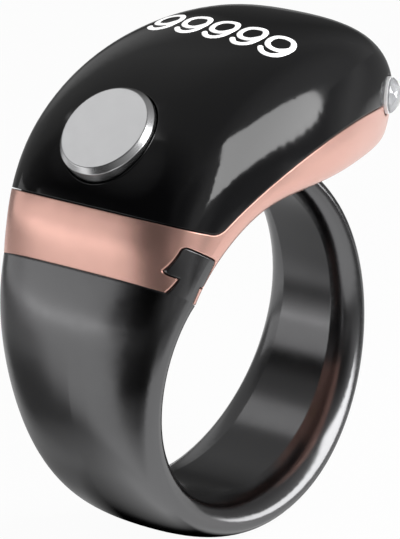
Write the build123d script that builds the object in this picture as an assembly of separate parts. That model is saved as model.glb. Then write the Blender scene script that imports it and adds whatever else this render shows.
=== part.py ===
"""A finger-worn digital tasbih counter.

Side view in XZ: a spiral that starts as a thin band end under the free end of the head, runs round
below the finger and swells into the head. The finger bore's axis is Y and its centre is the origin.
-X is the end with the round count button, +X the free end; -Y is the front, with the crystal button.
All sizes are millimetres.
"""
from build123d import *
import os
from math import cos, radians, sin

# Finger bore, walls and fits
bore_radius = 10.0
floor_wall = 1.0
frame_wall = 1.1
cover_wall = 1.2
seam_gap = 0.1
fit_gap = 0.05
# How far a section is drawn past the bore wall before the bore is cut
bore_allowance = 0.04
# Longer than the ring in every direction, for cutting tools
cutter_length = 80.0

# Band stations: angle round the bore, thickness, half width
joint_angle = 151.0
joint_thickness = 3.6
joint_half_width = 7.3
band_stations = [
    (176, 3.00, 6.40),
    (206, 2.95, 5.40),
    (238, 3.00, 5.00),
    (270, 2.75, 4.95),
    (300, 2.50, 4.70),
    (330, 2.30, 4.15),
    (360, 2.20, 3.60),
    (395, 2.05, 3.15),
    (433, 1.65, 3.01),
]
# Head stations over the bore: underside angle, crest angle, crest rise, half width, and share of the
# head's shape
head_arc_stations = [
    (140, 145.4, 4.27, 7.48, 0.5),
    (129, 139.8, 4.95, 7.65, 1.0),
    (108, 124.8, 6.45, 8.10, 1.0),
]
# Head stations past the bore: underside reach and lift over the bore, crest reach and lift, half width, and
# share of the free end's shape
head_reach_stations = [
    (0.4, -0.12, -5.13, 6.99, 8.25, 0.0),
    (4.2, -0.05, 1.03, 9.07, 7.75, 0.3),
    (8.0, -0.03, 8.43, 8.85, 6.40, 0.7),
    (11.6, 0.0, 13.01, 6.29, 4.70, 1.0),
    (14.2, 0.25, 15.25, 4.13, 2.95, 1.0),
    (15.5, 0.93, 16.25, 3.17, 1.80, 1.0),
    (16.1, 1.50, 16.55, 2.45, 1.00, 1.0),
    (16.3, 1.85, 16.50, 2.15, 0.40, 1.0),
]
# Where the room inside the head ends
cavity_end_x = 14.1

# Cross-section shape: height share of the widest place, fullness above and below, land share
head_shape = (0.37, 0.86, 0.78, 0.65)
end_shape = (0.37, 0.86, 0.78, 0.76)
joint_shape = (0.46, 0.76, 0.81, 0.48)
band_shape = (0.55, 0.64, 0.60, 0.35)

# Parting line between frame and cover: its low corner, then reach and lift over the bore
parting_corner_angle = 130.65
parting_corner_rise = 2.13
parting_end_slope = -0.35
parting_line = [(0.0, 2.63), (6.0, 3.33), (11.0, 3.0), (15.5, 2.1), (22.0, 0.6)]
parting_corner_radius = 1.5
gasket_thickness = 0.25
gasket_setback = 0.5

# Hooked tongue of the band, seen from the side: a T that slides into the frame along Y
tongue_stem_low = 1.25
tongue_stem_high = 2.85
tongue_stem_length = 1.05
tongue_head_low = 0.8
tongue_head_high = 3.45
tongue_head_length = 1.75
tongue_back = 4.5
tongue_corner = 0.2
tongue_root = 0.6
tongue_cap_wall = 0.8
# Tenon at the thin end of the band
tenon_reach = 5.0
tenon_length = 1.6
tenon_width = 3.6
tenon_height = 0.6

# Count button: place by the crest, set a little back from the middle, lean of its axis, cap and stem
button_angle = 121.4
button_lean = 133.0
button_rise = 7.29
button_side = 0.43
button_radius = 3.2
button_bevel = 0.28
button_bevel_depth = 0.34
button_edge_radius = 0.1
button_cap = 1.6
button_travel = 0.4
button_play = 0.1
button_gap = 0.12
button_stem_radius = 1.2
button_boss_radius = 4.6
button_boss_depth = 3.0
clip_thickness = 0.25
clip_radius = 1.8
clip_groove_radius = 0.9
seal_radius = 1.75
seal_thickness = 0.4
stem_tip_depth = 3.6

# Count switch on its own small board
switch_size = 3.6
switch_height = 1.3
switch_plunger_radius = 0.8
switch_plunger_length = 0.9
switch_plunger_shown = 0.5
button_board_thickness = 0.4
button_board_half_width = 2.3
button_board_low = -1.95
pedestal_high = 1.7
pedestal_height = 4.0
flex_thickness = 0.12
button_flex_width = 3.0
button_flex_reach = 2.0
button_flex_bend = 0.5

# Crystal button in a round seat on the front wall near the free end, and how far its axis turns from +X
crystal_reach = 11.82
crystal_side = 4.47
crystal_axis_lift = 3.45
crystal_turn = 63.0
crystal_radius = 1.2
crystal_cup_height = 0.22
crystal_height = 0.52
crystal_table_radius = 0.65
crystal_facets = 8
crystal_girdle = 0.12
crystal_travel = 0.3
crystal_wall = 1.2
crystal_boss_radius = 1.75
crystal_hub_radius = 0.85
crystal_hub_length = 0.4
crystal_stem_radius = 0.6
crystal_flange_radius = 0.95
crystal_flange_thickness = 0.3
crystal_stem_tip = 0.15
crystal_seal_radius = 1.0
crystal_seal_thickness = 0.25
side_switch_length = 1.5
side_switch_half_width = 1.1
side_switch_height = 1.2
side_plunger_radius = 0.4
side_plunger_length = 0.8
side_plunger_shown = 0.4

# Display bonded to a flat land inside the cover
display_x = 1.5
display_lift = 6.85
display_tilt = 7.0
display_length = 7.0
display_width = 11.6
display_thickness = 1.2
display_film = 0.15
display_land_margin = 0.4
display_flex_width = 5.0
display_flex_overlap = 2.5
display_flex_reach = 0.55
display_flex_bend = 0.25
connector_x = -2.2
connector_length = 1.6
connector_half_width = 2.7
connector_height = 0.9

# Main board on posts over the battery
board_low_x = -2.7
board_high_x = 9.15
board_low_half_width = 5.7
board_high_half_width = 3.9
board_thickness = 0.6
board_corner = 0.8
post_radius = 1.0
post_places = [(-1.5, 4.7), (8.35, 2.9)]
screw_radius = 0.4
screw_length = 2.2
screw_head_radius = 0.8
screw_head_height = 0.5
chip_size = 4.0
chip_height = 0.75
chip_x = 2.4
motor_radius = 2.0
motor_height = 1.8
motor_x = 6.7
small_parts = [(0.2, 3.9, 1.0, 0.5), (1.9, 3.9, 1.0, 0.5), (3.6, 3.9, 1.6, 0.8), (5.4, -3.5, 1.0, 0.5)]
small_part_height = 0.5

# Battery in a tray in the frame's floor
tray_level = 1.25
tray_margin = 0.5
battery_low_x = 0.3
battery_high_x = 7.3
battery_half_width = 3.9
battery_thickness = 1.6
battery_corner = 0.5
battery_pad_thickness = 0.15
battery_to_board = 0.2
tab_thickness = 0.15
tab_width = 1.2
tab_spacing = 2.0
tab_reach = 0.6
tab_bend = 0.3
charge_pin_x = -1.9
charge_pin_y = 2.6
charge_pin_radius = 0.7
charge_pin_collar_radius = 1.1
charge_pin_collar_height = 0.4
charge_pin_recess = 0.06
charge_boss_wall = 0.25


def polar(radius, angle):
    """Point of the side view at a radius and an angle round the bore."""
    return radius * cos(radians(angle)), radius * sin(radians(angle))


def block(low_x, high_x, half_width, low_z, high_z):
    """Box given by its limits, symmetric about the middle plane of the ring."""
    size = (high_x - low_x, 2 * half_width, high_z - low_z)
    return Pos((low_x + high_x) / 2, 0, (low_z + high_z) / 2) * Box(*size)


def post(x, y, radius, low_z, high_z):
    """Upright cylinder between two heights."""
    return Pos(x, y, (low_z + high_z) / 2) * Cylinder(radius, high_z - low_z)


def along(plane, radius, start, end):
    """Cylinder on a plane's axis between two distances from the plane."""
    return plane * Pos(0, 0, (start + end) / 2) * Cylinder(radius, end - start)


def side_prism(outline, half_width):
    """Prism along Y from an outline drawn in the side view with (x, z) points."""
    return extrude(Plane.XZ * outline, half_width, both=True)


def ribbon(points, radius, thickness, width):
    """Flat strip whose path is drawn in the side view, centred on the middle plane."""
    path = FilletPolyline(*points, radius=radius)
    return side_prism(trace(path, thickness), width / 2)


def cross_section(under, crest, half_width, shape, inset):
    """Face across the ring from an underside point to a crest point; inset is (floor, side, top)."""
    widest, top_full, low_full, land_share = shape
    floor, side, top = inset
    foot = Vector(under[0], 0, under[1])
    rise = Vector(crest[0], 0, crest[1]) - foot
    across = Plane(foot, x_dir=(0, 1, 0), z_dir=Vector(0, 1, 0).cross(rise.normalized()))
    height = rise.length - top
    wide = half_width - side
    middle = floor + widest * (height - floor)
    land = land_share * wide
    lower = Bezier(
        (land, floor),
        (land + low_full * (wide - land), floor),
        (wide, middle - low_full * (middle - floor)),
        (wide, middle),
    )
    upper = Bezier(
        (wide, middle),
        (wide, middle + top_full * (height - middle)),
        (top_full * wide, height),
        (0, height),
    )
    base = Line((-land, floor), (land, floor))
    left = [mirror(edge, about=Plane.YZ) for edge in (upper, lower)]
    return across * make_face([base, lower, upper, *left])


def mixed(first, second, share):
    """Cross-section shape that lies a share of the way from one to another."""
    return [low + share * (high - low) for low, high in zip(first, second)]


def head_loft(inset=(0, 0, 0)):
    """Head from the band joint to the free end, or its inside when an inset is given."""
    draft = bore_radius - bore_allowance
    joint_under = polar(draft, joint_angle)
    joint_crest = polar(bore_radius + joint_thickness, joint_angle)
    sections = [cross_section(joint_under, joint_crest, joint_half_width, joint_shape, inset)]
    for under_angle, crest_angle, crest_rise, half_width, share in head_arc_stations:
        under = polar(draft, under_angle)
        crest = polar(bore_radius + crest_rise, crest_angle)
        shape = mixed(joint_shape, head_shape, share)
        sections.append(cross_section(under, crest, half_width, shape, inset))
    for reach, lift, crest_reach, crest_lift, half_width, share in head_reach_stations:
        if half_width <= inset[1] + fit_gap:
            break
        crest = (crest_reach, bore_radius + crest_lift)
        under = (reach, bore_radius + lift)
        shape = mixed(head_shape, end_shape, share)
        sections.append(cross_section(under, crest, half_width, shape, inset))
    return loft(sections, ruled=inset[1] > 0)


def band_loft():
    """Band from the joint round to its thin end."""
    sections = []
    stations = [(joint_angle, joint_thickness, joint_half_width), *band_stations]
    for angle, thickness, half_width in stations:
        shape = joint_shape if angle == joint_angle else band_shape
        under = polar(bore_radius - bore_allowance, angle)
        crest = polar(bore_radius + thickness, angle)
        sections.append(cross_section(under, crest, half_width, shape, (0, 0, 0)))
    return loft(sections)


def parting_space(lift):
    """Everything above the parting surface, moved up by a lift."""
    corner_x, corner_z = polar(bore_radius + parting_corner_rise, parting_corner_angle)
    start = (corner_x - cutter_length / 4, corner_z - parting_end_slope * cutter_length / 4)
    end_run = Line(start, (corner_x, corner_z))
    side_run = Spline((corner_x, corner_z), *[(reach, bore_radius + lift) for reach, lift in parting_line])
    top = cutter_length / 2
    lid = Polyline(side_run @ 1, ((side_run @ 1).X, top), (start[0], top), start)
    outline = make_face([end_run, side_run, *lid.edges()])
    corner = outline.vertices().sort_by_distance((corner_x, corner_z, 0))[0]
    outline = fillet(corner, parting_corner_radius)
    return Pos(0, 0, lift) * side_prism(outline, cutter_length / 4)


def tongue_prism(gap):
    """T-shaped tongue on the joint plane, grown by a gap to cut its slot."""
    corner = (Align.MIN, Align.MIN)
    stem_run = tongue_root + tongue_stem_length + tongue_head_length
    stem_size = (stem_run, tongue_stem_high - tongue_stem_low + 2 * gap)
    head_size = (tongue_head_length + 2 * gap, tongue_head_high - tongue_head_low + 2 * gap)
    stem = Pos(-tongue_root, tongue_stem_low - gap) * Rectangle(*stem_size, align=corner)
    head = RectangleRounded(*head_size, tongue_corner + gap, align=corner)
    profile = stem + Pos(tongue_stem_length - gap, tongue_head_low - gap) * head
    foot = polar(bore_radius, joint_angle)
    up_ring = (sin(radians(joint_angle)), 0, -cos(radians(joint_angle)))
    side = Plane((foot[0], 0, foot[1]), x_dir=up_ring, z_dir=(0, -1, 0))
    return extrude(side * profile, cutter_length / 4) + extrude(side * profile, -tongue_back - gap)


def turned(plane, points, rounded=()):
    """Solid of revolution about a plane's axis from (radius, distance along the axis) points."""
    half = Plane(plane.origin, x_dir=plane.x_dir, z_dir=-plane.y_dir)
    profile = make_face(Polyline(*points, close=True))
    for spot in rounded:
        corner = profile.vertices().sort_by_distance((*spot, 0))[0]
        profile = fillet(corner, button_edge_radius)
    return revolve(half * profile, axis=Axis(plane.origin, plane.z_dir))


def ring(plane, outer, inner, start, end):
    """Flat ring on a plane's axis between two distances."""
    return along(plane, outer, start, end) - along(plane, inner, start - fit_gap, end + fit_gap)


# The ring's outer form, its inside and the planes that pieces sit on
bore = Cylinder(bore_radius, cutter_length, rotation=(90, 0, 0))
past_cavity = block(cavity_end_x, cutter_length, cutter_length / 2, -cutter_length / 2, cutter_length / 2)
head_form = head_loft() - bore
inner_wall = (floor_wall + bore_allowance, frame_wall, cover_wall)
hollow = head_loft(inner_wall) - past_cavity
joint_foot = polar(bore_radius, joint_angle)
up_ring = Vector(sin(radians(joint_angle)), 0, -cos(radians(joint_angle)))
joint_plane = Plane((joint_foot[0], 0, joint_foot[1]), x_dir=(0, 1, 0), z_dir=up_ring)
joint_block_height = tongue_stem_length + tongue_head_length + tongue_cap_wall
below_joint_wall = joint_plane * Pos(0, 0, joint_block_height - cutter_length / 4) * Box(
    cutter_length, cutter_length, cutter_length / 2)
cavity = hollow - below_joint_wall

button_foot = polar(bore_radius + button_rise, button_angle)
button_inward = Vector(-cos(radians(button_lean)), 0, -sin(radians(button_lean)))
button_seat = (button_foot[0], button_side, button_foot[1])
button_plane = Plane(button_seat, x_dir=(0, 1, 0), z_dir=button_inward)
crystal_seat = (crystal_reach, -crystal_side, bore_radius + crystal_axis_lift)
crystal_out = (cos(radians(crystal_turn)), -sin(radians(crystal_turn)), 0)
crystal_across = (sin(radians(crystal_turn)), cos(radians(crystal_turn)), 0)
crystal_plane = Plane(crystal_seat, x_dir=crystal_across, z_dir=crystal_out)
display_z = bore_radius + display_lift
level_display = Plane((display_x, 0, display_z), x_dir=(1, 0, 0), z_dir=(0, 0, 1))
display_plane = level_display.rotated((0, -display_tilt, 0))

tray_z = bore_radius + tray_level
battery_z = tray_z + battery_pad_thickness
board_z = battery_z + battery_thickness + battery_to_board
board_top_z = board_z + board_thickness
button_pocket_depth = button_cap + button_travel + button_play
switch_depth = stem_tip_depth + switch_plunger_shown
button_board_depth = switch_depth + switch_height
pedestal_depth = button_board_depth + button_board_thickness
post_spots = [(x, sign * y) for x, y in post_places for sign in (-1, 1)]
charge_spots = [(charge_pin_x, sign * charge_pin_y) for sign in (-1, 1)]


def on_button(across, low, high, start, end):
    """Box in the count button's frame: half width, limits down and up its slope, limits in depth."""
    place = Pos(0, (low + high) / 2, (start + end) / 2)
    return button_plane * place * Box(2 * across, high - low, end - start)


def on_crystal(across, low, high, start, end):
    """Box in the crystal button's frame: half width, limits in height, limits along its axis."""
    place = Pos(0, (low + high) / 2, (start + end) / 2)
    return crystal_plane * place * Box(2 * across, high - low, end - start)


def on_display(length, width, start, end):
    """Box under the display land, between two depths from the land."""
    return display_plane * Pos(0, 0, -(start + end) / 2) * Box(length, width, end - start)


parts = {}

# Rooms that the moving and fitted pieces need in the shells
button_boss = along(button_plane, button_boss_radius, -button_rise, button_boss_depth)
button_pocket = along(button_plane, button_radius + button_gap, -button_rise, button_pocket_depth)
button_hole = along(button_plane, button_stem_radius + fit_gap, 0, button_boss_depth + fit_gap)
seal_start = (button_pocket_depth + button_boss_depth - seal_thickness) / 2
seal_room = along(button_plane, seal_radius, seal_start, seal_start + seal_thickness)
button_room = button_pocket + button_hole + seal_room

crystal_hub_room = crystal_hub_length + crystal_travel + button_play
crystal_seal_start = -(crystal_hub_room + crystal_seal_thickness)
flange_face = -(crystal_wall + 2 * fit_gap)
flange_back = flange_face - crystal_flange_thickness
crystal_tip = flange_back - crystal_stem_tip
side_switch_face = crystal_tip - side_plunger_shown
side_switch_back = side_switch_face - side_switch_length
crystal_boss = along(crystal_plane, crystal_boss_radius, -crystal_wall, crystal_wall)
crystal_room = (
    along(crystal_plane, crystal_radius + button_gap, 0, 2 * crystal_wall)
    + along(crystal_plane, crystal_hub_radius + fit_gap, -crystal_hub_room, crystal_wall)
    + along(crystal_plane, crystal_seal_radius, crystal_seal_start, -crystal_hub_room)
    + along(crystal_plane, crystal_stem_radius + fit_gap, flange_back, 0)
    + along(crystal_plane, crystal_flange_radius + 2 * fit_gap, side_switch_back, -crystal_wall)
)

land_length = display_length + 2 * display_land_margin
land_width = display_width + 2 * display_land_margin
display_depth = display_film + display_thickness
display_land = on_display(land_length, land_width, -cutter_length / 8, 0)
display_room = on_display(display_length + 2 * fit_gap, display_width + 2 * fit_gap, 0,
                          display_depth + display_land_margin)

# Top cover: glossy black dome
above_parting = parting_space(seam_gap)
cover_inside = cavity - button_boss - crystal_boss - display_land + display_room
parts["top_cover"] = (head_form & above_parting) - cover_inside - button_room - crystal_room

# Cover gasket: a thin closed ring set back from the outside
rim_inset = (gasket_setback + bore_allowance, gasket_setback, gasket_setback)
rim_form = head_loft(rim_inset) - past_cavity
gasket_space = parting_space(-gasket_thickness) - above_parting
parts["cover_gasket"] = (rim_form & gasket_space) - (hollow - crystal_boss) - crystal_room

# Mid frame: rose-gold tub with battery tray, board posts, switch pedestal and charge bosses
tray = block(battery_low_x - tray_margin, battery_high_x + tray_margin, battery_half_width + tray_margin,
             0, tray_z)
pedestal = on_button(button_board_half_width, button_board_low, pedestal_high,
                     pedestal_depth, pedestal_depth + pedestal_height)
posts = [post(x, y, post_radius, 0, board_z) for x, y in post_spots]
charge_boss_radius = charge_pin_collar_radius + charge_boss_wall
charge_bosses = [post(x, y, charge_boss_radius, 0, tray_z) for x, y in charge_spots]
screw_end_z = board_top_z - screw_length
screw_holes = [post(x, y, screw_radius + fit_gap / 2, screw_end_z - fit_gap, board_z) for x, y in post_spots]
pin_holes = [post(x, y, charge_pin_radius + fit_gap / 2, 0, tray_z) for x, y in charge_spots]
switch_low = -side_switch_height / 2
switch_stand = on_crystal(side_switch_half_width, -cutter_length / 8, switch_low,
                          side_switch_back, side_switch_face)
switch_seat = on_crystal(side_switch_half_width + 2 * fit_gap, switch_low, -switch_low + fit_gap,
                         side_switch_back - 4 * fit_gap, flange_face)
tenon_low_x = tenon_reach - tenon_length / 2
tenon_top_z = bore_radius + tenon_height
tenon = block(tenon_low_x, tenon_low_x + tenon_length, tenon_width / 2, 0, tenon_top_z)
tenon_room = block(tenon_low_x - fit_gap, tenon_low_x + tenon_length + fit_gap, tenon_width / 2 + fit_gap,
                   0, tenon_top_z + fit_gap)
frame_inside = cavity - tray - pedestal - posts - charge_bosses - crystal_boss - switch_stand
frame = (head_form - parting_space(0)) - frame_inside - switch_seat - crystal_room
frame = frame - screw_holes - pin_holes - tongue_prism(seam_gap) - tenon_room
parts["mid_frame"] = frame - (gasket_space & rim_form)

# Band: tapering hoop with its hooked tongue and its tenon
band_form = band_loft() - bore
tongue = tongue_prism(0) & (head_form + band_form)
band_body = band_form - Pos(0, 0, -seam_gap) * head_form
parts["ring_band"] = band_body + tongue + (tenon - bore)

# Count button with its clip, seal and switch
clip_start = button_boss_depth + button_play
clip_end = clip_start + clip_thickness
button_rim = [(button_radius - button_bevel, 0), (button_radius, button_bevel_depth)]
parts["count_button"] = turned(button_plane, [
    (0, 0),
    *button_rim,
    (button_radius, button_cap),
    (button_stem_radius, button_cap),
    (button_stem_radius, clip_start),
    (clip_groove_radius, clip_start),
    (clip_groove_radius, clip_end),
    (button_stem_radius, clip_end),
    (button_stem_radius, stem_tip_depth),
    (0, stem_tip_depth),
], button_rim)
parts["count_button_clip"] = ring(button_plane, clip_radius, clip_groove_radius, clip_start, clip_end)
parts["count_button_seal"] = ring(button_plane, seal_radius, button_stem_radius + fit_gap / 2,
                                  seal_start, seal_start + seal_thickness)
plunger_end = stem_tip_depth + switch_plunger_length
parts["count_switch_plunger"] = along(button_plane, switch_plunger_radius, stem_tip_depth, plunger_end)
plunger_room = along(button_plane, switch_plunger_radius + fit_gap, stem_tip_depth,
                     plunger_end + button_travel + fit_gap)
parts["count_switch"] = on_button(switch_size / 2, -switch_size / 2, switch_size / 2, switch_depth,
                                  button_board_depth) - plunger_room

# Crystal button with its seal and side switch
cup_back = crystal_travel + fit_gap
cup_front = cup_back + crystal_cup_height
parts["function_button"] = turned(crystal_plane, [
    (0, crystal_tip),
    (crystal_stem_radius, crystal_tip),
    (crystal_stem_radius, flange_back),
    (crystal_flange_radius, flange_back),
    (crystal_flange_radius, flange_face),
    (crystal_stem_radius, flange_face),
    (crystal_stem_radius, -crystal_hub_length),
    (crystal_hub_radius, -crystal_hub_length),
    (crystal_hub_radius, cup_back),
    (crystal_radius, cup_back),
    (crystal_radius, cup_front),
    (0, cup_front),
])


def crown(base_radius, turn):
    """Faceted crown of the crystal: a tapered prism from its girdle up to its flat table."""
    girdle_z = cup_front + crystal_girdle
    low = RegularPolygon(base_radius, crystal_facets, rotation=turn)
    table = RegularPolygon(crystal_table_radius, crystal_facets, rotation=turn)
    sides = extrude(crystal_plane * Pos(0, 0, cup_front) * low, crystal_girdle)
    taper = loft([crystal_plane * Pos(0, 0, girdle_z) * low,
                  crystal_plane * Pos(0, 0, cup_front + crystal_height) * table])
    return sides + taper


half_facet = 180 / crystal_facets
parts["function_crystal"] = crown(crystal_radius, 0) & crown(crystal_radius, half_facet)
parts["function_button_seal"] = ring(crystal_plane, crystal_seal_radius, crystal_stem_radius + fit_gap / 2,
                                     crystal_seal_start, -crystal_hub_room)
side_plunger_end = crystal_tip - side_plunger_length
parts["function_switch_plunger"] = along(crystal_plane, side_plunger_radius, side_plunger_end, crystal_tip)
side_plunger_room = along(crystal_plane, side_plunger_radius + fit_gap,
                          side_plunger_end - crystal_travel - fit_gap, crystal_tip)
parts["function_switch"] = on_crystal(side_switch_half_width, switch_low, -switch_low, side_switch_back,
                                      side_switch_face) - side_plunger_room


def display_point(run, depth):
    """Side-view point at a run along the display and a depth under its land."""
    tilt = radians(display_tilt)
    return (display_x + run * cos(tilt) + depth * sin(tilt), display_z + run * sin(tilt) - depth * cos(tilt))


def button_point(slope, depth):
    """Side-view point at a distance up the count button's slope and a depth under its face."""
    spot = button_plane.from_local_coords((0, slope, depth))
    return spot.X, spot.Z


# Display, bonded to the cover, with its film, flex and connector
parts["display_film"] = on_display(display_length - display_land_margin, display_width - display_land_margin,
                                   0, display_film)
parts["display_panel"] = on_display(display_length, display_width, display_film, display_depth)
flex_half = flex_thickness / 2
flex_depth = display_depth + flex_half
display_edge = -display_length / 2
connector_middle_z = board_top_z + connector_height / 2
turn_x = connector_x - display_flex_reach
turn_run = (turn_x - display_x) / cos(radians(display_tilt)) - flex_depth * sin(radians(display_tilt))
parts["display_flex"] = ribbon([
    display_point(display_edge + display_flex_overlap, flex_depth),
    display_point(turn_run, flex_depth),
    (turn_x, connector_middle_z),
    (connector_x, connector_middle_z),
], display_flex_bend, flex_thickness, display_flex_width)
parts["display_connector"] = block(connector_x, connector_x + connector_length, connector_half_width,
                                   board_top_z, board_top_z + connector_height)

# Main board on its posts, with what is soldered to it
board_outline = make_face(Polyline(
    (board_low_x, -board_low_half_width),
    (board_high_x, -board_high_half_width),
    (board_high_x, board_high_half_width),
    (board_low_x, board_low_half_width),
    close=True,
))
board_outline = fillet(board_outline.vertices(), board_corner)
board_hole_radius = screw_radius + fit_gap
board_holes = [post(x, y, board_hole_radius, board_z - fit_gap, board_top_z + fit_gap) for x, y in post_spots]
parts["main_board"] = Pos(0, 0, board_z) * extrude(board_outline, board_thickness) - board_holes
screws = []
for x, y in post_spots:
    shank = post(x, y, screw_radius, screw_end_z, board_top_z)
    screws.append(shank + post(x, y, screw_head_radius, board_top_z, board_top_z + screw_head_height))
parts["board_screws"] = Compound(screws)
parts["processor_chip"] = block(chip_x - chip_size / 2, chip_x + chip_size / 2, chip_size / 2, board_top_z,
                                board_top_z + chip_height)
parts["vibration_motor"] = post(motor_x, 0, motor_radius, board_top_z, board_top_z + motor_height)
parts["board_components"] = Compound([
    Pos(x, y, board_top_z + small_part_height / 2) * Box(length, width, small_part_height)
    for x, y, length, width in small_parts
])

# Button board on its pedestal, and its flex up to the underside of the main board
flex_start = switch_size / 2 + fit_gap
flex_under_z = board_z - flex_half
slope_start = button_point(flex_start, button_board_depth - flex_half)
flex_turn = flex_start + (flex_under_z - slope_start[1]) / button_plane.y_dir.Z
turn_point = button_point(flex_turn, button_board_depth - flex_half)
button_board_high = flex_turn - button_flex_bend / 2
parts["button_board"] = on_button(button_board_half_width, button_board_low, button_board_high,
                                  button_board_depth, pedestal_depth)
parts["button_flex"] = ribbon([slope_start, turn_point, (turn_point[0] + button_flex_reach, turn_point[1])],
                              button_flex_bend, flex_thickness, button_flex_width)

# Battery on its pad in the tray, its leads, and the charge pins through the floor
battery = block(battery_low_x, battery_high_x, battery_half_width, battery_z, battery_z + battery_thickness)
parts["battery"] = fillet(battery.edges().filter_by(Axis.Z), battery_corner)
parts["battery_pad"] = block(battery_low_x + battery_corner, battery_high_x - battery_corner,
                             battery_half_width - battery_corner, tray_z, battery_z)
tab_z = battery_z + battery_thickness / 2
tab_x = battery_high_x + tab_reach
tab = ribbon([(battery_high_x, tab_z), (tab_x, tab_z), (tab_x, board_z)], tab_bend, tab_thickness, tab_width)
parts["battery_leads"] = Compound([Pos(0, sign * tab_spacing / 2, 0) * tab for sign in (-1, 1)])
pins = []
for x, y in charge_spots:
    pin = post(x, y, charge_pin_radius, 0, board_z)
    collar = post(x, y, charge_pin_collar_radius, tray_z, tray_z + charge_pin_collar_height)
    pins.append(pin + collar - Cylinder(bore_radius + charge_pin_recess, cutter_length, rotation=(90, 0, 0)))
parts["charge_pins"] = Compound(pins)

os.makedirs("parts", exist_ok=True)
for name, solid in parts.items():
    export_step(solid, f"parts/{name}.step")
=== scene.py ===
from math import cos, pi, radians, sin

import bmesh
import bpy
from mathutils import Matrix, Vector
from mathutils.bvhtree import BVHTree


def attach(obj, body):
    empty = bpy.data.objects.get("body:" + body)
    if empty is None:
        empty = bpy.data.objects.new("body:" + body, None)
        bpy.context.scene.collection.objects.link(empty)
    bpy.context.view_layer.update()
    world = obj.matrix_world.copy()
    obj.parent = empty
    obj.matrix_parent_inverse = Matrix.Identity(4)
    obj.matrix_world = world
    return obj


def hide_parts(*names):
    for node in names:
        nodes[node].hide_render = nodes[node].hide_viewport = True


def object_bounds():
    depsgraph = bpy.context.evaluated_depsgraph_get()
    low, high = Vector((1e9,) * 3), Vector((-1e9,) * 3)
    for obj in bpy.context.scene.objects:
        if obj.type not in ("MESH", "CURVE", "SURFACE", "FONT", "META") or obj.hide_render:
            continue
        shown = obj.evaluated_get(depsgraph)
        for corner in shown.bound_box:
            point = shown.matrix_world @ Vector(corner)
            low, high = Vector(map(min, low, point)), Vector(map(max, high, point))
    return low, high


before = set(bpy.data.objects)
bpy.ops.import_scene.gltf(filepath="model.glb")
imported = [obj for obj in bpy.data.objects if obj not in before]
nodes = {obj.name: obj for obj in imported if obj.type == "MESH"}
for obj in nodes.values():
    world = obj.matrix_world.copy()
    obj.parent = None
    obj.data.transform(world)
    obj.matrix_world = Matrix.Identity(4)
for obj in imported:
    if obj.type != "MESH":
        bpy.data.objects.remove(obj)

cad_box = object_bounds()

# Camera
# A long lens looks a little down on the front left of the ring, with the finger bore seen half open.
# It is moved in its own plane, so that the ring stands where it does in the photograph.
camera_distance = 0.288
camera_left = 0.000387
camera_raise = 0.003654
sight = Vector((-0.7300, -0.6180, 0.2919)).normalized()
across = Vector((0.6461, -0.7632, 0.0)).normalized()
upward = sight.cross(across)
camera_data = bpy.data.cameras.new("studio_camera")
camera_data.lens = 307.8
camera_data.clip_start = 0.01
camera_data.clip_end = 20.0
camera = bpy.data.objects.new("studio_camera", camera_data)
stand = camera_distance * sight - camera_left * across + camera_raise * upward
camera.matrix_world = Matrix.Translation(stand) @ Matrix((across, upward, sight)).transposed().to_4x4()
scene = bpy.context.scene
scene.view_settings.view_transform = "Standard"
scene.collection.objects.link(camera)
scene.camera = camera

# Studio floor
# A wide sheet of white paper under the ring, which still takes a soft shadow.
# Polished surfaces see its glow painted: painted shade off its front and left, painted shadow close under
# the band.
floor_radius = 6.0
floor_gap = 0.00002
floor_mesh = bmesh.new()
bmesh.ops.create_circle(floor_mesh, cap_ends=True, segments=96, radius=floor_radius)
bmesh.ops.translate(floor_mesh, verts=floor_mesh.verts, vec=(0, 0, cad_box[0][2] - floor_gap))
floor_data = bpy.data.meshes.new("studio_floor")
floor_mesh.to_mesh(floor_data)
floor_mesh.free()
floor = bpy.data.objects.new("studio_floor", floor_data)
scene.collection.objects.link(floor)
floor_paint = bpy.data.materials.new("floor_paper")
floor_paint.use_nodes = True
floor_tree = floor_paint.node_tree
floor_tree.nodes.clear()


def add_node(tree, kind, settings=(), values=()):
    """New node with its settings and input values; a value that is another node's output is linked."""
    node = tree.nodes.new(kind)
    for name, setting in settings:
        setattr(node, name, setting)
    for name, value in values:
        if isinstance(value, bpy.types.NodeSocket):
            tree.links.new(value, node.inputs[name])
        else:
            node.inputs[name].default_value = value
    return node


def reckon(tree, operation, *values):
    """Result of one Math node on outputs of other nodes and plain numbers."""
    return add_node(tree, "ShaderNodeMath", [("operation", operation)], enumerate(values)).outputs[0]


def stretch(tree, value, start, end, low=0.0, high=1.0):
    """Runs from low to high while the value runs from start to end, and keeps still beyond."""
    span = [("Value", value), ("From Min", start), ("From Max", end), ("To Min", low), ("To Max", high)]
    return add_node(tree, "ShaderNodeMapRange", (), span).outputs[0]


# The floor's painted glow is set out by direction from a point at the left front of the band.
painted_middle_x = -0.0125
painted_middle_y = -0.0035
floor_spot = add_node(floor_tree, "ShaderNodeTexCoord").outputs["Object"]
floor_place = add_node(floor_tree, "ShaderNodeSeparateXYZ", (), [("Vector", floor_spot)]).outputs
floor_reach = add_node(floor_tree, "ShaderNodeVectorMath", [("operation", "LENGTH")],
                       [(0, floor_spot)]).outputs["Value"]
painted_x = reckon(floor_tree, "SUBTRACT", floor_place["X"], painted_middle_x)
painted_y = reckon(floor_tree, "SUBTRACT", floor_place["Y"], painted_middle_y)
floor_azimuth = stretch(floor_tree, reckon(floor_tree, "ARCTAN2", painted_y, painted_x), -pi, pi)


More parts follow.
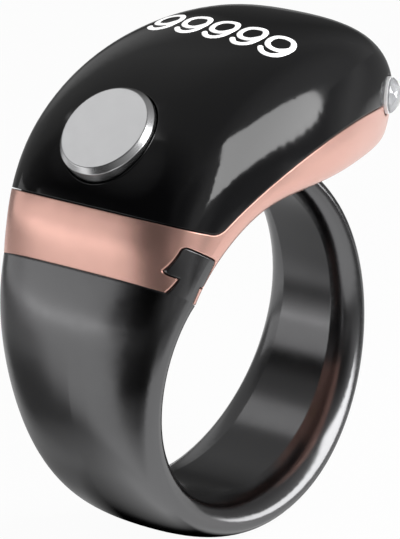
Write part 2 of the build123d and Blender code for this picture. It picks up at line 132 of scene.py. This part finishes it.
def by_azimuth(*stops):
    """Painted floor glow by direction, as polished surfaces see it, from stops of (azimuth in degrees,
    brightness).
    """
    ramp = add_node(floor_tree, "ShaderNodeValToRGB", (), [("Fac", floor_azimuth)])
    steps = ramp.color_ramp.elements
    for degrees, _ in stops[1:-1]:
        steps.new((degrees + 180) / 360)
    for step, (degrees, brightness) in zip(steps, stops):
        step.position = (degrees + 180) / 360
        step.color = (brightness, brightness, brightness, 1)
    return ramp.outputs["Color"]


under_level = by_azimuth(
    (-180, 0.95), (-30, 0.97), (-14, 0.92), (0, 0.84), (8, 0.75), (15, 0.62), (22, 0.55), (28, 0.36),
    (36, 0.30), (52, 0.36), (68, 0.28), (82, 0.34), (96, 0.50), (115, 0.62), (140, 0.95), (180, 0.95))
near_level = by_azimuth(
    (-180, 0.22), (-165, 0.45), (-150, 0.90), (-60, 0.95), (-35, 0.80), (10, 0.70), (40, 0.50),
    (85, 0.70), (100, 0.15), (124, 0.15), (132, 0.95), (150, 0.75), (162, 0.38), (180, 0.22))
close_level = by_azimuth(
    (-180, 0.02), (-165, 0.03), (-150, 0.90), (-60, 0.95), (-35, 0.80), (90, 0.85), (100, 0.15),
    (124, 0.15), (132, 0.95), (150, 0.95), (156, 0.03), (180, 0.02))
middle_level = by_azimuth(
    (-180, 0.03), (-165, 0.05), (-150, 0.30), (-78, 0.32), (-62, 0.11), (-40, 0.13), (-31, 0.76),
    (0, 0.84), (90, 0.80), (105, 0.36), (127, 0.40), (132, 0.95), (150, 0.95), (156, 0.05), (180, 0.03))
wide_level = by_azimuth(
    (-180, 0.05), (-165, 0.08), (-145, 0.16), (-100, 0.24), (-78, 0.28), (-60, 0.10), (-25, 0.11),
    (-14, 0.30), (-6, 0.16), (10, 0.15), (60, 0.32), (100, 0.26), (122, 0.42), (131, 1.0), (150, 1.0),
    (156, 0.13), (180, 0.05))

# The floor's glow is painted dark under the band as its shadow. Painted light comes in past its front and
# back edges, and through a gap at its left that widens towards the back.
front_edge = (-0.0039, -0.0047)
back_edge = (0.0030, 0.0060)
gap_slant = -0.3
gap_left = -0.0063
gap_growth = 1.1
gap_width = 0.0066
gap_least = 0.0033
front_open = stretch(floor_tree, floor_place["Y"], *front_edge)
back_open = stretch(floor_tree, floor_place["Y"], *back_edge)
side_open = reckon(floor_tree, "MAXIMUM", front_open, back_open)
side_level = reckon(floor_tree, "MULTIPLY", under_level, side_open)
gap_line = reckon(floor_tree, "MULTIPLY_ADD", floor_place["Y"], gap_slant, gap_left)
gap_depth = reckon(floor_tree, "SUBTRACT", gap_line, floor_place["X"])
gap_open = reckon(floor_tree, "MULTIPLY_ADD", floor_place["Y"], gap_growth, gap_width)
gap_reach = reckon(floor_tree, "MAXIMUM", gap_open, gap_least)
gap_level = stretch(floor_tree, gap_depth, 0.0, gap_reach)
painted_contact_shadow = reckon(floor_tree, "MAXIMUM", side_level, gap_level)


def pass_over(start, end, inner, outer):
    """Inner brightness up to one distance from the ring's middle, and outer brightness from another on."""
    share = stretch(floor_tree, floor_reach, start, end)
    return add_node(floor_tree, "ShaderNodeMix", [("data_type", "FLOAT")],
                    [(0, share), (2, inner), (3, outer)]).outputs[0]


mirror_level = pass_over(start=0.026, end=0.040, inner=near_level, outer=close_level)
mirror_level = pass_over(start=0.042, end=0.062, inner=mirror_level, outer=middle_level)
mirror_level = pass_over(start=0.101, end=0.118, inner=mirror_level, outer=wide_level)
# Close to the ring's middle, the painted shadow under the band takes over.
mirror_level = pass_over(start=0.018, end=0.027, inner=painted_contact_shadow, outer=mirror_level)
paper_white = 0.90
camera_glow = 0.96
rays = add_node(floor_tree, "ShaderNodeLightPath").outputs
glow_level = reckon(floor_tree, "MAXIMUM", mirror_level, rays["Is Camera Ray"])
camera_share = reckon(floor_tree, "MULTIPLY", rays["Is Camera Ray"], camera_glow)
glossy_share = reckon(floor_tree, "MAXIMUM", camera_share, rays["Is Glossy Ray"])
glow_share = reckon(floor_tree, "MAXIMUM", glossy_share, rays["Is Transmission Ray"])
paper = add_node(floor_tree, "ShaderNodeBsdfDiffuse", (),
                 [("Color", (paper_white, paper_white, paper_white, 1))])
glow = add_node(floor_tree, "ShaderNodeEmission", (), [("Strength", glow_level)])
sheet = add_node(floor_tree, "ShaderNodeMixShader", (),
                 [(0, glow_share), (1, paper.outputs[0]), (2, glow.outputs[0])])
add_node(floor_tree, "ShaderNodeOutputMaterial", (), [("Surface", sheet.outputs[0])])
floor_data.materials.append(floor_paint)

# Studio room
# A dim grey room with dark cloth hung at the left, at the back right and behind the camera.
# Its walls are paler in front, at the back and high up at the left back.
room_grey = 0.22
room_patches = [
    (155, 18, 50, 20, -0.215), (-80, 20, 64, 18, 0.26), (75, 25, 32, 8, 0.09), (38, 8, 37, 14, -0.15),
    (60, 19, 17, 6, 0.30), (-140, 28, 26, 8, -0.16), (131, 38, 16, 5, 0.16)]


def toward(azimuth, elevation):
    """Direction from the ring's middle, from degrees round it and over the horizon."""
    level = cos(radians(elevation))
    return Vector((level * cos(radians(azimuth)), level * sin(radians(azimuth)), sin(radians(elevation))))


def along(tree, place, way):
    """How far a place lies along a direction."""
    return add_node(tree, "ShaderNodeVectorMath", [("operation", "DOT_PRODUCT")],
                    [(0, place), (1, way)]).outputs["Value"]


room = bpy.data.worlds.new("studio_room")
room.use_nodes = True
room_tree = room.node_tree
room_way = add_node(room_tree, "ShaderNodeTexCoord").outputs["Generated"]
room_level = room_grey
for azimuth, elevation, rim, core, change in room_patches:
    patch_side = along(room_tree, room_way, toward(azimuth, elevation))
    patch_level = stretch(room_tree, patch_side, cos(radians(rim)), cos(radians(core)), 0.0, change)
    room_level = reckon(room_tree, "ADD", room_level, patch_level)
room_shine = room_tree.nodes["Background"]
room_shine.inputs["Color"].default_value = (1, 1, 1, 1)
room_tree.links.new(room_level, room_shine.inputs["Strength"])
scene.world = room

# Studio lamps
# A soft box close in front, cut slantwise by a flag, draws the pointed streak on the black cover.
# Two low boxes at the left light the rose-gold frame, and a small high one the face of the count button.
millimetre = 0.001
front_distance = 0.150
front_out = toward(azimuth=-66, elevation=22)
front_right = Vector((0, 0, 1)).cross(front_out).normalized()
front_up = front_out.cross(front_right)
front_corners = [
    (-80, -30), (-54, -40), (14, -57), (75, -72), (113, -72), (120, -66), (116, -52), (100, -31), (83, -12),
    (60, 2), (21, 28), (-20, 66), (-64, 136), (-78, 146), (-82, 100), (-84, 20)]
front_mesh = bmesh.new()
front_loop = []
for u, v in front_corners:
    corner = front_distance * front_out + millimetre * (u * front_right + v * front_up)
    front_loop.append(front_mesh.verts.new(corner))
front_mesh.faces.new(front_loop)
front_data = bpy.data.meshes.new("front_soft_box")
front_mesh.to_mesh(front_data)
front_mesh.free()
front_box = bpy.data.objects.new("front_soft_box", front_data)
front_box.visible_camera = False
scene.collection.objects.link(front_box)
front_cloth = bpy.data.materials.new("front_lamp_cloth")
front_cloth.use_nodes = True
front_tree = front_cloth.node_tree
front_tree.nodes.clear()
bright_side = -0.080
dim_side = 0.110
bright_level = 6.4
dim_level = 4.6
front_spot = add_node(front_tree, "ShaderNodeTexCoord").outputs["Object"]
front_side = along(front_tree, front_spot, front_right)
front_level = stretch(front_tree, front_side, bright_side, dim_side, bright_level, dim_level)
front_light = add_node(front_tree, "ShaderNodeEmission", (), [("Strength", front_level)])
add_node(front_tree, "ShaderNodeOutputMaterial", (), [("Surface", front_light.outputs[0])])
front_data.materials.append(front_cloth)


def soft_box(name, azimuth, elevation, distance, width, height, brightness):
    """Rectangular lamp that faces the ring; brightness is what a mirror would see, 1 being white."""
    lamp_data = bpy.data.lights.new(name, "AREA")
    lamp_data.shape = "RECTANGLE"
    lamp_data.size = width
    lamp_data.size_y = height
    lamp_data.energy = brightness * pi * width * height
    lamp = bpy.data.objects.new(name, lamp_data)
    out = toward(azimuth, elevation)
    lamp.matrix_world = Matrix.Translation(distance * out) @ out.to_track_quat("Z", "Y").to_matrix().to_4x4()
    scene.collection.objects.link(lamp)


soft_box("left_soft_box", azimuth=139, elevation=7, distance=0.25,
         width=0.100, height=0.090, brightness=1.0)
soft_box("left_fill_box", azimuth=114, elevation=4.5, distance=0.25,
         width=0.122, height=0.064, brightness=0.70)
soft_box("button_soft_box", azimuth=108, elevation=48, distance=0.30,
         width=0.090, height=0.090, brightness=0.74)


def finish_material(name, colour, metallic, roughness, uneven, grain, bump, edge=0.0):
    """Finish that is uneven in shine and relief by its grain; edge rounds the shading of sharp edges."""
    made = bpy.data.materials.new(name)
    made.use_nodes = True
    tree = made.node_tree
    shader = tree.nodes["Principled BSDF"]
    shader.inputs["Base Color"].default_value = (*colour, 1)
    shader.inputs["Metallic"].default_value = metallic
    least_roughness = 0.02
    noise_low = 0.25
    noise_high = 0.75
    relief_depth = 0.00002
    place = add_node(tree, "ShaderNodeTexCoord").outputs["Object"]
    noise_values = [("Vector", place), ("Scale", grain), ("Detail", 4.0), ("Roughness", 0.6)]
    noise = add_node(tree, "ShaderNodeTexNoise", (), noise_values).outputs["Fac"]
    smooth = max(least_roughness, roughness - uneven)
    shine = stretch(tree, noise, noise_low, noise_high, smooth, roughness + uneven)
    tree.links.new(shine, shader.inputs["Roughness"])
    relief = add_node(tree, "ShaderNodeBump", (),
                      [("Strength", bump), ("Distance", relief_depth), ("Height", noise)])
    if edge:
        round_edge = add_node(tree, "ShaderNodeBevel", [("samples", 6)], [("Radius", edge)])
        tree.links.new(round_edge.outputs["Normal"], relief.inputs["Normal"])
    tree.links.new(relief.outputs["Normal"], shader.inputs["Normal"])
    return made


def dress(made, *names):
    """The finish goes on CAD nodes that keep their own shape."""
    for name in names:
        node = nodes[name]
        node.data.materials.clear()
        node.data.materials.append(made)


band_gunmetal = finish_material("band_gunmetal", colour=(0.152, 0.152, 0.155), metallic=1.0,
                                roughness=0.19, uneven=0.02, grain=800.0, bump=0.005, edge=0.00010)
dress(band_gunmetal, "ring_band")

# Rose-gold mid frame
# A satin aluminium tub between cover and band, anodised rose gold, its edges lightly broken.
# It carries the boards, the battery and both switches.
frame_rose = finish_material("frame_rose_gold", colour=(0.86, 0.505, 0.425), metallic=0.80,
                             roughness=0.25, uneven=0.02, grain=900.0, bump=0.005, edge=0.00010)
dress(frame_rose, "mid_frame")

# Boards, flexes, battery and display inside
# Green laminate boards, amber flexes and a foil pouch cell, laid in the frame and closed in by the cover.
# The charge pins are gold-plated and show in the roof of the bore.
board_green = finish_material("board_green", colour=(0.02, 0.12, 0.05), metallic=0.0,
                              roughness=0.4, uneven=0.08, grain=900.0, bump=0.1)
dress(board_green, "main_board", "button_board")
flex_amber = finish_material("flex_amber", colour=(0.42, 0.17, 0.03), metallic=0.0,
                             roughness=0.35, uneven=0.06, grain=500.0, bump=0.1)
dress(flex_amber, "display_flex", "button_flex")
foil_silver = finish_material("foil_silver", colour=(0.62, 0.62, 0.64), metallic=1.0,
                              roughness=0.4, uneven=0.1, grain=300.0, bump=0.3)
dress(foil_silver, "battery")
pad_foam = finish_material("pad_foam", colour=(0.1, 0.1, 0.1), metallic=0.0,
                           roughness=0.8, uneven=0.1, grain=1500.0, bump=0.6)
dress(pad_foam, "battery_pad")
panel_dark = finish_material("panel_dark", colour=(0.01, 0.01, 0.012), metallic=0.0,
                             roughness=0.1, uneven=0.04, grain=300.0, bump=0.02)
dress(panel_dark, "display_panel", "display_film")
part_tan = finish_material("part_tan", colour=(0.45, 0.33, 0.2), metallic=0.0,
                           roughness=0.5, uneven=0.1, grain=700.0, bump=0.2)
dress(part_tan, "board_components")
contact_gold = finish_material("contact_gold", colour=(0.9, 0.66, 0.28), metallic=1.0,
                               roughness=0.2, uneven=0.05, grain=900.0, bump=0.05)
dress(contact_gold, "charge_pins", "battery_leads")

# Switches, seals and small fittings
# Moulded switches with pale plungers work under the buttons, and black rubber seals close the head.
# Clip, screws and the case of the motor are bare steel.
switch_plastic = finish_material("switch_plastic", colour=(0.03, 0.03, 0.032), metallic=0.0,
                                 roughness=0.45, uneven=0.08, grain=700.0, bump=0.15)
dress(switch_plastic, "count_switch", "function_switch", "display_connector", "processor_chip")
plunger_plastic = finish_material("plunger_plastic", colour=(0.7, 0.68, 0.62), metallic=0.0,
                                  roughness=0.4, uneven=0.08, grain=700.0, bump=0.15)
dress(plunger_plastic, "count_switch_plunger", "function_switch_plunger")
seal_rubber = finish_material("seal_rubber", colour=(0.015, 0.015, 0.015), metallic=0.0,
                              roughness=0.6, uneven=0.08, grain=700.0, bump=0.2)
dress(seal_rubber, "cover_gasket", "count_button_seal", "function_button_seal")
clip_steel = finish_material("spring_steel", colour=(0.55, 0.55, 0.57), metallic=1.0,
                             roughness=0.3, uneven=0.05, grain=600.0, bump=0.05)
dress(clip_steel, "count_button_clip", "board_screws", "vibration_motor")

# Crystal button
# A brilliant-cut stone, partly clear, in a pearly cup at the free end of the head, over the side switch.
# The stone is the hull of its facets' corners, cut to the place and size of the plain solid it stands for.
cup_bright = finish_material("cup_bright", colour=(0.95, 0.95, 0.96), metallic=0.20,
                             roughness=0.30, uneven=0.04, grain=900.0, bump=0.02, edge=0.00004)
dress(cup_bright, "function_button")
stone_clear = finish_material("stone_clear", colour=(0.97, 0.98, 1.0), metallic=0.0,
                              roughness=0.03, uneven=0.01, grain=500.0, bump=0.01)
stone_shader = stone_clear.node_tree.nodes["Principled BSDF"]
stone_shader.inputs["Transmission Weight"].default_value = 0.78
stone_shader.inputs["IOR"].default_value = 1.9
stone_turn = radians(63.0)
stone_out = Vector((cos(stone_turn), -sin(stone_turn), 0))
stone_across = Vector((sin(stone_turn), cos(stone_turn), 0))
seat_margin = 0.00001
seat_spots = [vert.co for vert in nodes["function_crystal"].data.vertices]
stone_base = min(spot @ stone_out for spot in seat_spots)
stone_height = max(spot @ stone_out for spot in seat_spots) - stone_base
base_ring = [spot for spot in seat_spots if spot @ stone_out < stone_base + seat_margin]
base_middle = sum(base_ring, Vector()) / len(base_ring)
stone_radius = max((spot - base_middle).length for spot in base_ring)
stone_axes = Matrix((stone_across, (0, 0, 1), stone_out)).transposed().to_4x4()
stone_place = Matrix.Translation(base_middle) @ stone_axes
stone_rings = [(1.0, 0.0, 16, 0.0), (1.0, 0.20, 16, 0.0), (0.84, 0.64, 8, 22.5), (0.54, 1.0, 8, 0.0)]
stone_mesh = bmesh.new()
for width, height, corners, turn in stone_rings:
    ring_place = Matrix.Translation((0, 0, height * stone_height)) @ Matrix.Rotation(radians(turn), 4, "Z")
    bmesh.ops.create_circle(stone_mesh, segments=corners, radius=width * stone_radius,
                            matrix=stone_place @ ring_place)
bmesh.ops.convex_hull(stone_mesh, input=stone_mesh.verts)
flat_angle = radians(1.0)
bmesh.ops.dissolve_limit(stone_mesh, angle_limit=flat_angle, verts=stone_mesh.verts, edges=stone_mesh.edges)
bmesh.ops.recalc_face_normals(stone_mesh, faces=stone_mesh.faces)
stone_data = bpy.data.meshes.new("crystal_stone")
stone_mesh.to_mesh(stone_data)
stone_mesh.free()
stone_data.materials.append(stone_clear)
stone = bpy.data.objects.new("crystal_stone", stone_data)
scene.collection.objects.link(stone)
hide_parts("function_crystal")
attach(stone, "function_button")

# Count button
# A turned disc of pale satin metal with a polished bevel, pressed with the thumb.
# A spring clip under the cover keeps it in, and its stem works the switch below.
button_satin = finish_material("button_satin", colour=(0.74, 0.74, 0.75), metallic=1.0,
                               roughness=0.26, uneven=0.01, grain=1200.0, bump=0.004, edge=0.00006)
dress(button_satin, "count_button")

# Black top cover
# A glossy injection-moulded dome of black plastic, clipped down on the frame over its gasket.
# The moulding keeps a very faint ripple, and fine handling marks soften its shine here and there.
cover_black = finish_material("cover_black", colour=(0.004, 0.004, 0.0045), metallic=0.0,
                              roughness=0.10, uneven=0.015, grain=420.0, bump=0.003, edge=0.00008)
dress(cover_black, "top_cover")

# Display digits
# Five white nines shine through the cover's top in a row across the finger, tops towards the free end.
# Each is a rounded stroke, laid on the dome and a hair proud of it.
digit_count = 5
digit_pitch = 0.00220
digit_wide = 0.00175
digit_stroke = 0.00019
digit_rise = 0.00004
row_start = Vector((-0.00033, 0.00482))
row_up = Vector((0.00251, 0.00024))
digit_high = row_up.length
reading = Vector((0.008, -1.0)).normalized()
nine = [(0.08, 0.21), (0.22, 0.07), (0.56, 0.04), (0.86, 0.19), (0.97, 0.52), (0.96, 0.80), (0.76, 1.02),
        (0.44, 1.03), (0.12, 0.93), (0.02, 0.68), (0.14, 0.42), (0.46, 0.33), (0.78, 0.40), (0.94, 0.62)]
over_dome = 0.05
dome = nodes["top_cover"].data
dome_tree = BVHTree.FromPolygons([vert.co.copy() for vert in dome.vertices],
                                 [face.vertices[:] for face in dome.polygons])
digit_white = bpy.data.materials.new("digit_white")
digit_white.use_nodes = True
digit_shader = digit_white.node_tree.nodes["Principled BSDF"]
digit_shader.inputs["Base Color"].default_value = (0.9, 0.9, 0.9, 1)
digit_shader.inputs["Emission Color"].default_value = (1, 1, 1, 1)
digit_shader.inputs["Emission Strength"].default_value = 0.75
for count in range(digit_count):
    stroke_data = bpy.data.curves.new("digit_stroke", "CURVE")
    stroke_data.dimensions = "3D"
    stroke_data.bevel_depth = digit_stroke
    stroke_data.bevel_resolution = 4
    stroke_data.use_fill_caps = True
    stroke_data.resolution_u = 8
    spline = stroke_data.splines.new("NURBS")
    spline.points.add(len(nine) - 1)
    for point, (u, v) in zip(spline.points, nine):
        point.co = (u * digit_wide, v * digit_high, 0, 1)
    spline.use_endpoint_u = True
    spline.order_u = 3
    stroke = bpy.data.objects.new("digit_stroke", stroke_data)
    scene.collection.objects.link(stroke)
    bpy.context.view_layer.update()
    drawn = bpy.data.meshes.new_from_object(stroke)
    bpy.data.objects.remove(stroke)
    shape = bmesh.new()
    shape.from_mesh(drawn)
    for u, v in (nine[0], nine[-1]):
        bmesh.ops.create_uvsphere(shape, u_segments=16, v_segments=10, radius=digit_stroke,
                                  matrix=Matrix.Translation((u * digit_wide, v * digit_high, 0)))
    for vert in shape.verts:
        spot = row_start + (count * digit_pitch + vert.co.x) * reading + vert.co.y * row_up.normalized()
        hit, normal, _, _ = dome_tree.ray_cast(Vector((spot.x, spot.y, over_dome)), Vector((0, 0, -1)))
        vert.co = hit + normal * (vert.co.z * digit_rise / digit_stroke)
    digit_data = bpy.data.meshes.new(f"display_digit_{count + 1}")
    shape.to_mesh(digit_data)
    shape.free()
    digit_data.shade_smooth()
    digit_data.materials.append(digit_white)
    digit = bpy.data.objects.new(f"display_digit_{count + 1}", digit_data)
    scene.collection.objects.link(digit)
    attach(digit, "housing")
